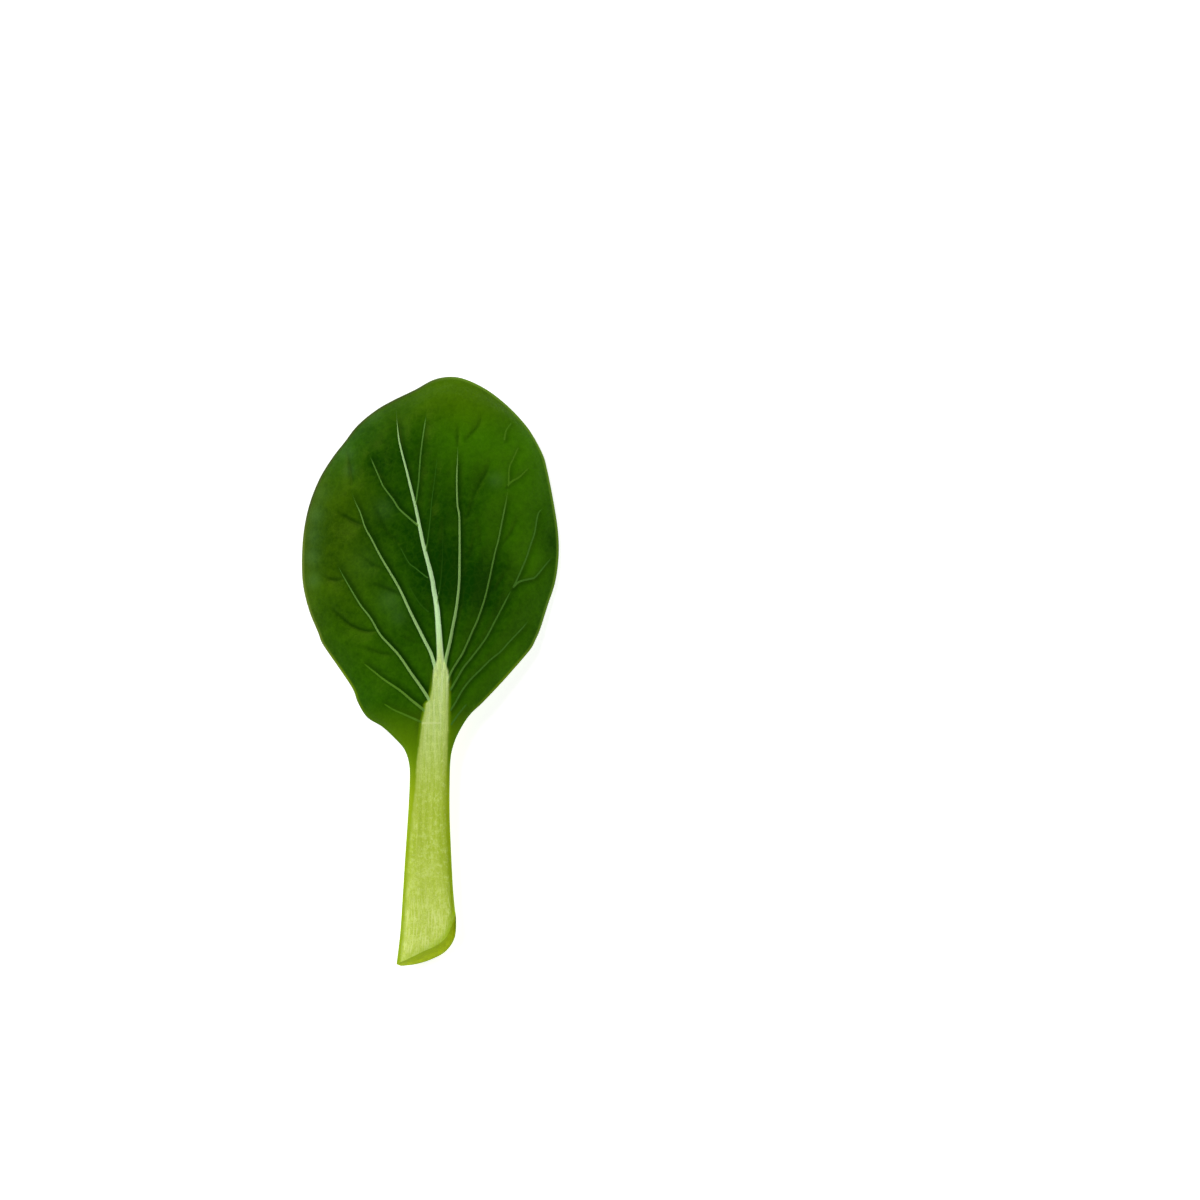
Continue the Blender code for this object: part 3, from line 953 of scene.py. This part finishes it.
def make_under_skin(groups):
    """The dull back: paler green, with standing pale veins and the stalk's rounded yellow-green back."""
    finish, tree, shader = new_finish("under_skin")
    y, tissue, fibre, veins = place_patterns(tree, groups, product(tree, fact(tree, "vein_reach"), 0.7), 0.5)
    tone = mottled_tone(tree, tissue, 0.8, 0.5, 0.5)
    blade = blend(tree, tone, colour(76, 112, 38), colour(112, 146, 66))
    blade = blend(tree, product(tree, tissue["Net"], 0.35), blade, colour(150, 178, 100))
    shown = rise(tree, veins["Core"], 0.03, 0.60)
    shown = product(tree, shown, rise(tree, fact(tree, "vein_pale"), 0.0, 0.4, 0.3, 0.9))
    skin = blend(tree, shown, blade, colour(186, 206, 138))
    back = blend(tree, rise(tree, y, -0.020, -0.080), colour(156, 184, 84), colour(186, 206, 120))
    back = blend(tree, rise(tree, fibre["Strands"], 0.40, 0.66, 0.0, 0.7), back, colour(204, 220, 146))
    back = blend(tree, rise(tree, fibre["Fibres"], 0.42, 0.68, 0.0, 0.5), back, colour(140, 168, 62))
    keel = rise(tree, fact(tree, "keel"), 0.10, 0.45)
    skin = blend(tree, maths(tree, "MAXIMUM", keel, rise(tree, y, -0.014, -0.030)), skin, back)
    rough = maths(tree, "MULTIPLY_ADD", tissue["Mottle"], 0.2, 0.48)
    relief = maths(tree, "MULTIPLY_ADD", tissue["Net"], 0.8, fibre["Fibres"])
    fill_shader(tree, shader, skin, rough, relief, 0.4, 0.0003)
    shader.inputs["Specular IOR Level"].default_value = 0.35
    return finish


def make_cut_flesh(groups):
    """The moist cut through the stalk: mottled green flesh, lighter towards the stalk's back, with a greener
    rim and a faint row of bundles of fibres."""
    finish, tree, shader = new_finish("cut_flesh")
    place = node(tree, "ShaderNodeTexCoord").outputs["Object"]
    tissue = place_group(tree, groups["tissue"], {"Place": place, "Cell Size": 0.0006})
    below = fact(tree, "below")
    to_rim = maths(tree, "MINIMUM", below, maths(tree, "SUBTRACT", 1.0, below))
    flesh = blend(tree, rise(tree, below, 0.05, 0.95), colour(150, 177, 1), colour(182, 206, 12))
    flesh = blend(tree, rise(tree, to_rim, 0.0, 0.16, 0.6, 0.0), flesh, colour(140, 172, 1))
    flesh = blend(tree, product(tree, tissue["Net"], 0.25), flesh, colour(186, 206, 60))
    flesh = blend(tree, rise(tree, tissue["Mottle"], 0.44, 0.60, 0.36, 0.0), flesh, colour(138, 162, 1))
    from_bundle = maths(tree, "PINGPONG", product(tree, fact(tree, "across"), 9.0), 0.5)
    from_bundle = maths(tree, "POWER", maths(tree, "SUBTRACT", 0.5, from_bundle), 2.0)
    from_row = maths(tree, "ABSOLUTE", maths(tree, "SUBTRACT", below, 0.5))
    from_row = product(tree, maths(tree, "POWER", from_row, 2.0), 1.6)
    bundles = rise(tree, maths(tree, "ADD", from_bundle, from_row), 0.006, 0.035, 0.20, 0.0)
    flesh = blend(tree, bundles, flesh, colour(124, 152, 10))
    rough = maths(tree, "MULTIPLY_ADD", tissue["Mottle"], 0.2, 0.50)
    fill_shader(tree, shader, flesh, rough, tissue["Net"], 0.5, 0.0002)
    shader.inputs["Specular IOR Level"].default_value = 0.03
    return finish


# ------------------------------------------------------------------------------------ the table and the light

# The view is straight down, on a square this wide whose middle is here, a little above the table.
VIEW_WIDTH = 366.7
VIEW_MIDDLE = (51.95, 21.85)
VIEW_RISE = 0.008
LENS = 300.0
SENSOR = 36.0
TABLE_SIZE = 6.0
# The table lies this little below the leaf, so that the two don't flicker into each other.
TABLE_GAP = 0.0001


def make_table():
    deselect_all()
    bpy.ops.mesh.primitive_plane_add(size=TABLE_SIZE, location=(0.0, 0.0, leaf_low.z - TABLE_GAP))
    table = bpy.context.object
    table.name = "pale_table"
    finish, _, shader = new_finish("pale_table")
    shader.inputs["Base Color"].default_value = (0.93, 0.93, 0.93, 1.0)
    shader.inputs["Roughness"].default_value = 0.9
    shader.inputs["Specular IOR Level"].default_value = 0.1
    shader.inputs["Emission Color"].default_value = (1.0, 1.0, 1.0, 1.0)
    shader.inputs["Emission Strength"].default_value = 0.60
    table.data.materials.append(finish)


def make_sun(name, towards, spread, strength):
    """A soft light from this direction, the same all over the table and this many radians wide."""
    sun = bpy.data.objects.new(name, bpy.data.lights.new(name, "SUN"))
    bpy.context.scene.collection.objects.link(sun)
    sun.data.angle = spread
    sun.data.energy = strength
    sun.rotation_euler = Vector(towards).to_track_quat("Z", "Y").to_euler()


def make_light():
    """A pale room, darker overhead, with a broad window to the upper left and a weaker one opposite."""
    world = bpy.data.worlds.new("pale_room")
    world.use_nodes = True
    tree = world.node_tree
    direction = node(tree, "ShaderNodeTexCoord").outputs["Generated"]
    upward = node(tree, "ShaderNodeSeparateXYZ", {0: direction}).outputs["Z"]
    walls = {"Value": upward, "From Min": 0.03, "From Max": 0.35, "To Min": 1.0, "To Max": 0.50}
    walls = node(tree, "ShaderNodeMapRange", walls).outputs[0]
    strength = maths(tree, "MINIMUM", walls, rise(tree, upward, 0.25, 0.85, 0.60, 0.03))
    tree.links.new(strength, tree.nodes["Background"].inputs["Strength"])
    tree.nodes["Background"].inputs["Color"].default_value = (1.0, 1.0, 1.0, 1.0)
    bpy.context.scene.world = world
    make_sun("window_light", towards=(-0.75, 0.62, 0.85), spread=0.55, strength=2.3)
    make_sun("fill_light", towards=(0.9, -0.5, 1.1), spread=0.9, strength=0.9)


def make_camera():
    camera = bpy.data.objects.new("camera", bpy.data.cameras.new("camera"))
    bpy.context.scene.collection.objects.link(camera)
    camera.data.lens = LENS
    camera.data.sensor_width = SENSOR
    camera.data.clip_start = 0.01
    camera.data.clip_end = 20.0
    distance = VIEW_WIDTH * MM * LENS / SENSOR
    camera.location = (VIEW_MIDDLE[0] * MM, VIEW_MIDDLE[1] * MM, leaf_low.z + distance + VIEW_RISE)
    bpy.context.scene.camera = camera


groups = {"tissue": make_tissue_group(), "veins": make_vein_group(), "fibres": make_fibre_group()}
leaf = cut_pattern()
pattern = grow(leaf)
give_finishes(leaf, pattern, [make(groups) for make in (make_upper_skin, make_under_skin, make_cut_flesh)])
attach(leaf, "root")
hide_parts("bok_choy_leaf")
make_table()
make_light()
make_camera()
bpy.context.scene.view_settings.view_transform = "Standard"
